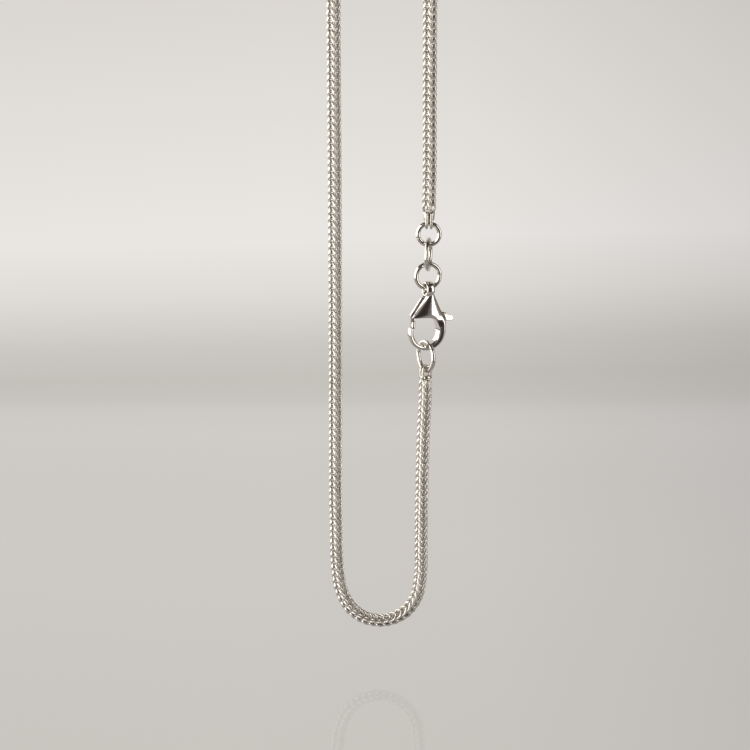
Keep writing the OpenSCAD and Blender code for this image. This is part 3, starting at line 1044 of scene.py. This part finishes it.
    def build(self) -> None:
        """Builds the body with its end loop, and the trigger."""
        self.build_body()
        self.build_trigger()


@dataclass(frozen=True)
class Softbox:
    """A soft rectangular light. Place, width and height in millimetres, power in watts."""

    name: str
    place: Triple
    size: Pair
    power: float
    aim: Triple = (0, 0, -170)
    colour: str = "#FFFBF5"

    def build(self) -> None:
        """Sets the light up, looking at the clasp's height, unseen by the camera."""
        data = bpy.data.lights.new(self.name, "AREA")
        data.shape = "RECTANGLE"
        data.size, data.size_y = self.size[0] * MM, self.size[1] * MM
        data.energy = self.power
        data.color = linear(self.colour)[:3]
        light = bpy.data.objects.new(self.name, data)
        light.location = Vector(self.place) * MM
        light.rotation_euler = (Vector(self.aim) * MM - light.location).to_track_quat("-Z", "Y").to_euler()
        light.visible_camera = False
        bpy.context.scene.collection.objects.link(light)


@dataclass
class Studio:
    """The plain pale sweep, its soft lights and the camera at the photo's angle."""

    # Sweep: places of its edges and of its corner, and its corner's radius
    floor_z: float = -222.6
    floor_front: float = -48.0
    wall_y: float = 163.0
    wall_from: float = 20.0
    wall_top: float = 300.0
    half_width: float = 115.0
    corner_r: float = 8.0
    # Points along floor, corner and wall, and across them
    sweep_points: tuple[int, int, int, int] = (10, 12, 6, 7)
    # Painted light on the sheet: glow tones from the floor's front to the wall's top, by the distance from
    # the corner, with painted shade in the corner, and their slant
    tones: Stops = (
        (-200, "#C8C5BF"), (-142, "#C9C5C0"), (-76, "#CDC9C5"), (-36, "#D0CCC8"), (-18, "#CECAC6"),
        (-7, "#C8C4BF"), (3, "#C5C1BB"), (12, "#CBC7C2"), (25, "#DFDBD6"), (38, "#EAE6E3"),
        (60, "#E5E1DC"), (100, "#DAD6D1"),
    )
    slant: float = -0.037
    # Painted light falling off across, from the span's left to its right
    side_span: float = 100.0
    side_tones: Stops = ((0.0, "#FEFEFE"), (0.4, "#FFFFFF"), (0.6, "#FDFDFD"), (1.0, "#EAEAEC"))
    # How bright the floor's painted glow is at its front in the metal's reflections, and the places between
    # which that changes
    floor_seen_aside: float = 0.5
    aside_span: Pair = (-20.0, 50.0)
    # The floor's shine, and the distances from the corner between which it fades out
    shine_roughness: float = 0.05
    shine_ior: float = 1.3
    shine_span: Pair = (-140.0, -50.0)
    # Room: direction that its tones follow, the tones, and their strength by the height
    room_axis: Triple = (-0.406, 0.914, 0.0)
    room_tones: Stops = (
        (0.0, "#2D2927"), (0.06, "#3E3A38"), (0.2, "#B0AAA2"), (0.36, "#7B746D"), (0.55, "#5D5953"),
        (0.78, "#2C2B2A"),
    )
    room_seen: str = "#CFCBC6"
    overhead_span: Pair = (0.35, 0.75)
    overhead_strength: Pair = (1.5, 0.2)
    softboxes: tuple[Softbox, ...] = (
        Softbox("left_softbox", (-438, -38, -80), (1500, 560), 5.4),
        Softbox("right_softbox", (438, -163, -89), (220, 535), 0.75),
        Softbox("right_fill", (347, -271, -89), (120, 535), 0.02),
    )
    # Camera: where it looks, how far from there it stands, and its lens
    target: Triple = (-0.72, 0.0, -174.92)
    distance: float = 300.0
    elevation: float = 15.0
    roll: float = 0.3
    lens: float = 92.16
    sensor: float = 36.0
    clip_m: Pair = (0.01, 10.0)

    def sweep(self) -> None:
        """Floor and wall in one sheet, with a small round where they meet."""
        on_floor, on_corner, on_wall, across = self.sweep_points
        q, r = np.linspace(0, math.pi / 2, on_corner), self.corner_r
        floor_y = np.linspace(self.floor_front, self.wall_y - r, on_floor)
        y = np.concatenate([floor_y, self.wall_y - r + r * np.sin(q), np.full(on_wall, self.wall_y)])
        wall_rise = np.linspace(self.wall_from, self.wall_top, on_wall)
        z = self.floor_z + np.concatenate([np.zeros(on_floor), r * (1 - np.cos(q)), wall_rise])
        x = np.linspace(-self.half_width, self.half_width, across)
        points = np.stack(np.broadcast_arrays(x, y[:, None], z[:, None]), axis=-1)
        quads = grid_quads(len(y), across, loop_rows=False, loop_cols=False)
        sheet = Surface(points.reshape(-1, 3), quads).make("sweep")
        sheet.data.materials.append(self.sweep_material())
        sheet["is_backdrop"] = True

    def sweep_material(self) -> bpy.types.Material:
        """Glossy pale acrylic whose light is painted: it glows with a tone instead of being lit. The tone
        follows the way down the wall and forward along the floor, a little aslant, darker in the corner, and
        fades to the sides; the floor mirrors what hangs above. In the metal's reflections the front of the
        floor glows dimmer than the camera sees it.

        Returns:
            The material, clear from behind.
        """
        material = bpy.data.materials.new("pale_acrylic_sheet_painted_light")
        tree = empty_tree(material)
        place = add_node(tree, "TexCoord").outputs["Object"]
        split = add_node(tree, "SeparateXYZ", {"Vector": place})
        way = add_node(
            tree, "VectorMath", {0: place}, operation="DOT_PRODUCT", in_1=(self.slant, 1.0, 1.0),
        ).outputs["Value"]
        corner, low, high = self.wall_y + self.floor_z, self.tones[0][0], self.tones[-1][0]
        along = add_node(
            tree, "MapRange", {"Value": way},
            in_From_Min=(corner + low) * MM, in_From_Max=(corner + high) * MM,
        )
        stops = tuple(((mm - low) / (high - low), colour) for mm, colour in self.tones)
        tone = add_node(tree, "ValToRGB", {"Fac": along}, stops)
        side = add_node(
            tree, "MapRange", {"Value": split.outputs["X"]},
            in_From_Min=-self.side_span * MM, in_From_Max=self.side_span * MM,
        )
        fade = add_node(tree, "ValToRGB", {"Fac": side}, self.side_tones)
        shade = add_node(
            tree, "Mix", {6: tone, 7: fade}, data_type="RGBA", blend_type="MULTIPLY", in_Factor=1.0,
        ).outputs[2]
        front, back = self.aside_span
        behind = add_node(
            tree, "MapRange", {"Value": split.outputs["Y"]}, in_From_Min=front * MM, in_From_Max=back * MM,
            in_To_Min=self.floor_seen_aside, in_To_Max=1.0,
        )
        straight = add_node(tree, "LightPath").outputs["Is Camera Ray"]
        level = add_node(tree, "Math", {0: behind, 1: straight}, operation="MAXIMUM")
        # Painted light: the sheet glows with its tones, darker in the corner and to the right
        glow = add_node(tree, "Emission", {"Color": shade, "Strength": level})
        gloss = add_node(tree, "BsdfGlossy", in_Roughness=self.shine_roughness, in_Color=(1, 1, 1, 1))
        fresnel = add_node(tree, "Fresnel", in_IOR=self.shine_ior)
        full, none = self.shine_span
        near = add_node(
            tree, "MapRange", {"Value": way}, in_From_Min=(corner + full) * MM,
            in_From_Max=(corner + none) * MM, in_To_Min=1.0, in_To_Max=0.0,
        )
        mirror = add_node(tree, "Math", {0: fresnel, 1: near}, operation="MULTIPLY")
        facing = add_node(tree, "MixShader", {0: mirror, 1: glow, 2: gloss})
        seen = add_node(tree, "NewGeometry").outputs["Backfacing"]
        clear = add_node(tree, "BsdfTransparent")
        both = add_node(tree, "MixShader", {0: seen, 1: facing, 2: clear})
        add_node(tree, "OutputMaterial", {"Surface": both})
        return material

    def world(self) -> None:
        """Room round the stage: pale to the camera; in reflections dark at the front, most of all
        to the right of the camera, and overhead, lighter at the front left and grey to the sides."""
        world = bpy.data.worlds.new("studio_room")
        bpy.context.scene.world = world
        tree = empty_tree(world)
        place = add_node(tree, "TexCoord").outputs["Generated"]
        aside = add_node(
            tree, "VectorMath", {0: place}, operation="DOT_PRODUCT", in_1=self.room_axis,
        ).outputs["Value"]
        depth = add_node(tree, "MapRange", {"Value": aside}, in_From_Min=-1.0, in_From_Max=1.0)
        tone = add_node(tree, "ValToRGB", {"Fac": depth}, self.room_tones)
        seen = add_node(tree, "Background", in_Color=linear(self.room_seen), in_Strength=1.0)
        height = add_node(tree, "SeparateXYZ", {"Vector": place}).outputs["Z"]
        (start, end), (low, high) = self.overhead_span, self.overhead_strength
        strength = add_node(
            tree, "MapRange", {"Value": height},
            in_From_Min=start, in_From_Max=end, in_To_Min=low, in_To_Max=high,
        )
        mirrored = add_node(tree, "Background", {"Color": tone, "Strength": strength})
        straight = add_node(tree, "LightPath").outputs["Is Camera Ray"]
        mix = add_node(tree, "MixShader", {0: straight, 1: mirrored, 2: seen})
        add_node(tree, "OutputWorld", {"Surface": mix})

    def camera(self) -> None:
        """Camera in front of the loop, a little above it and looking down, rolled by a hair."""
        data = bpy.data.cameras.new("camera")
        data.lens = self.lens
        data.sensor_width = self.sensor
        data.clip_start, data.clip_end = self.clip_m
        camera = bpy.data.objects.new("camera", data)
        tilt, roll = math.radians(self.elevation), math.radians(self.roll)
        stand_off = Vector((0, -math.cos(tilt), math.sin(tilt))) * self.distance
        camera.location = Vector(self.target) * MM + stand_off * MM
        turn = Euler((math.pi / 2 - tilt, 0, 0)).to_matrix() @ Euler((0, 0, roll)).to_matrix()
        camera.rotation_euler = turn.to_euler()
        bpy.context.scene.collection.objects.link(camera)
        bpy.context.scene.camera = camera

    def build(self) -> None:
        """Sets up camera, stage, room and lights, with plain colours in the picture."""
        self.camera()
        self.sweep()
        self.world()
        for softbox in self.softboxes:
            softbox.build()
        bpy.context.scene.view_settings.view_transform = "Standard"


RINGS = (
    LinkRing("jump_ring_upper", outer=4.0, centre=(7.4, 0, -152.53), turn=0, seam=200),
    LinkRing("link_ring_middle", outer=5.3, centre=(7.4, 0, -155.68), turn=82, seam=120),
    LinkRing("clasp_ring", outer=4.5, centre=(7.35, 0, -159.08), turn=16, seam=5),
    LinkRing("link_ring_lower", outer=5.3, centre=(7.2, 0, -171.82), turn=-61, seam=40),
)
CHAIN_ENDS = (
    ChainEnd("chain_end_lower", centre=(7.2, 0, -174.11), turn=-61, leg=1.25, solder=0.5),
    ChainEnd("chain_end_upper", centre=(7.4, 0, -150.89), turn=0, leg=1.85, solder=1.4, hangs=True),
)


def dress_pin(node: bpy.types.Object) -> None:
    """Gives the hidden pivot pin, a CAD node, its drawn steel."""
    node.data.materials.clear()
    node.data.materials.append(PIN_STEEL.material())
    LOG.info("clasp_pin: CAD node in drawn steel")


def corners() -> list[list[float]]:
    """The shown object's lowest and highest corner, as plain lists."""
    return [list(corner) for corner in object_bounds()]


def main() -> None:
    """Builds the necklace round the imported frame."""
    logging.basicConfig(level=logging.INFO, format="%(message)s")
    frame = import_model()
    for assembly in (Studio(), Chain(), *RINGS, *CHAIN_ENDS, Clasp()):
        assembly.build()
    dress_pin(frame["nodes"]["clasp_pin"])


if __name__ == "__main__":
    main()
